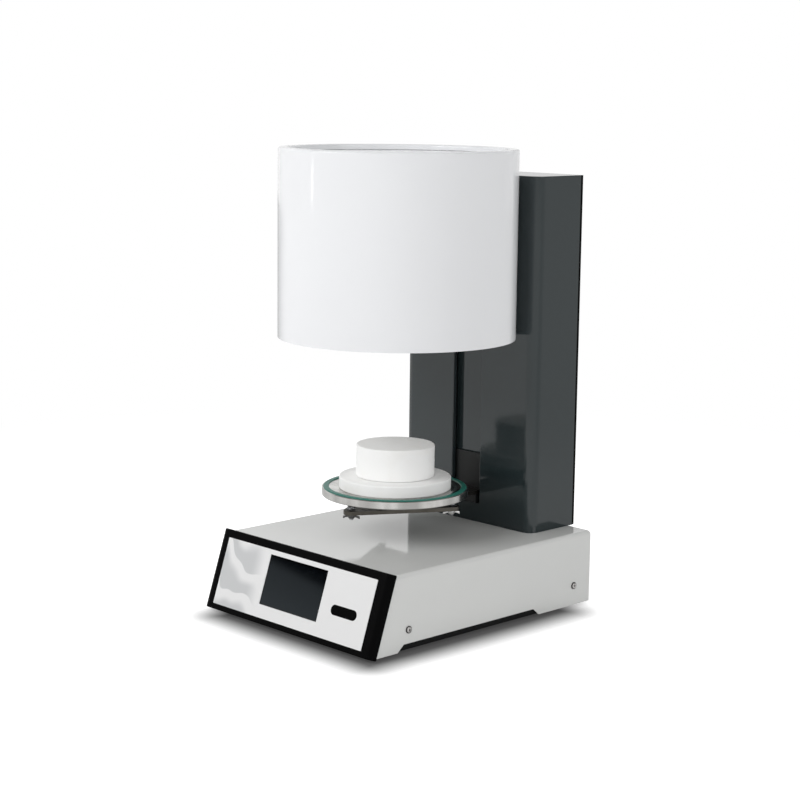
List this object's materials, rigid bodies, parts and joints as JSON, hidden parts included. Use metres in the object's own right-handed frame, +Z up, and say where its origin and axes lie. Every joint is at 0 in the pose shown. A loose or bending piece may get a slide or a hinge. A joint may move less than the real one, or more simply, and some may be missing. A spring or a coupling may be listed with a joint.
{
  "type": "dental lab furnace",
  "caption": "Bench furnace for dental ceramics: low housing with slanted touch panel, column, drum-shaped heating chamber open below, and a lift with a sealing platform.",
  "frame": {"origin": "on the floor under the middle of the object's box, between the control panel's foot and the vacuum port's tip", "axes": "+Z up, +X to the right seen from the front, the control panel faces -Y"},
  "size_m": [0.28, 0.3746, 0.5275],
  "materials": {
    "housing_paint": "satin",
    "drum_paint": "gloss",
    "column_paint": "gloss",
    "black_panel": "satin",
    "black_plastic": "satin",
    "overlay_film": "satin",
    "screen_glass": "gloss",
    "zinc_steel": "satin",
    "stainless": "polished",
    "machined_aluminium": "satin",
    "plate_steel": "satin",
    "bright_steel": "polished",
    "bearing_steel": "polished",
    "brass": "satin",
    "seal_rubber": "satin",
    "black_rubber": "matte",
    "firing_ceramic": "matte",
    "quartz_muffle": "satin",
    "fibre_insulation": "matte",
    "circuit_board": "satin",
    "relay_plastic": "gloss",
    "line_tube": "satin",
    "white_ceramic": "gloss"
  },
  "bodies": {
    "base": {"base_housing": "housing_paint", "case_lid": "zinc_steel", "chamber_case": "zinc_steel", "chamber_flange": "stainless", "column_back_panel": "black_panel", "column_cover": "column_paint", "column_frame": "zinc_steel", "control_board": "circuit_board", "display_module": "zinc_steel", "drum_floor": "stainless", "drum_hanger": "zinc_steel", "drum_lid": "drum_paint", "drum_shell": "drum_paint", "fan_frame": "black_plastic", "fan_guard": "bright_steel", "floor_pan": "black_panel", "front_bezel": "black_plastic", "guide_rods": "bright_steel", "hearth_ring": "fibre_insulation", "heater_relay": "relay_plastic", "heater_terminals": "white_ceramic", "heating_muffle": "quartz_muffle", "lift_motor": "black_panel", "lower_end_block": "machined_aluminium", "motor_mount": "zinc_steel", "panel_overlay": "overlay_film", "power_inlet": "black_plastic", "power_supply": "zinc_steel", "rear_panel": "black_panel", "roof_insulation": "fibre_insulation", "rubber_feet": "black_rubber", "screw_bearings": "bearing_steel", "side_insulation": "fibre_insulation", "side_screws": "bright_steel", "slot_shield": "column_paint", "stop_switches": "relay_plastic", "switch_frame": "black_plastic", "thermocouple": "white_ceramic", "touch_screen": "screen_glass", "upper_end_block": "machined_aluminium", "vacuum_line": "line_tube", "vacuum_port": "brass"},
    "lift": {"lift_carriage": "machined_aluminium", "linear_bearings": "bearing_steel", "lead_nut": "brass", "lift_bracket": "black_panel", "lift_arm": "black_panel", "star_plate": "plate_steel", "platform_dish": "stainless", "seal_ring": "seal_rubber", "base_disc": "firing_ceramic", "levelling_screws": "bright_steel", "levelling_springs": "bright_steel", "wing_nuts": "bright_steel"},
    "firing_table": {"firing_table": "firing_ceramic"},
    "lead_screw": {"lead_screw": "bright_steel", "shaft_coupling": "machined_aluminium", "motor_shaft": "bright_steel"},
    "fan": {"fan_impeller": "black_plastic"},
    "rocker": {"power_rocker": "black_plastic"}
  },
  "joints": [
    {"name": "table_lift", "type": "slide", "parent": "base", "child": "lift", "axis": [0, 0, 1], "range_m": [0, 0.1725]},
    {"name": "table_liftoff", "type": "slide", "parent": "lift", "child": "firing_table", "axis": [0, 0, 1], "range_m": [0, 0.035]},
    {"name": "screw_spin", "type": "hinge", "parent": "base", "child": "lead_screw", "pos_m": [0, 0.13026, 0.088], "axis": [0, 0, 1], "range_deg": [-15530, 0]},
    {"name": "fan_spin", "type": "hinge", "parent": "base", "child": "fan", "pos_m": [-0.084, 0.16396, 0.05315], "axis": [0, 1, 0], "continuous": true},
    {"name": "power_switch", "type": "hinge", "parent": "base", "child": "rocker", "pos_m": [0.046, 0.16146, 0.05315], "axis": [1, 0, 0], "range_deg": [-24, 0]}
  ],
  "couplings": [
    {"joint": "screw_spin", "follows": "table_lift", "rad_per_m": -1570.8}
  ]
}
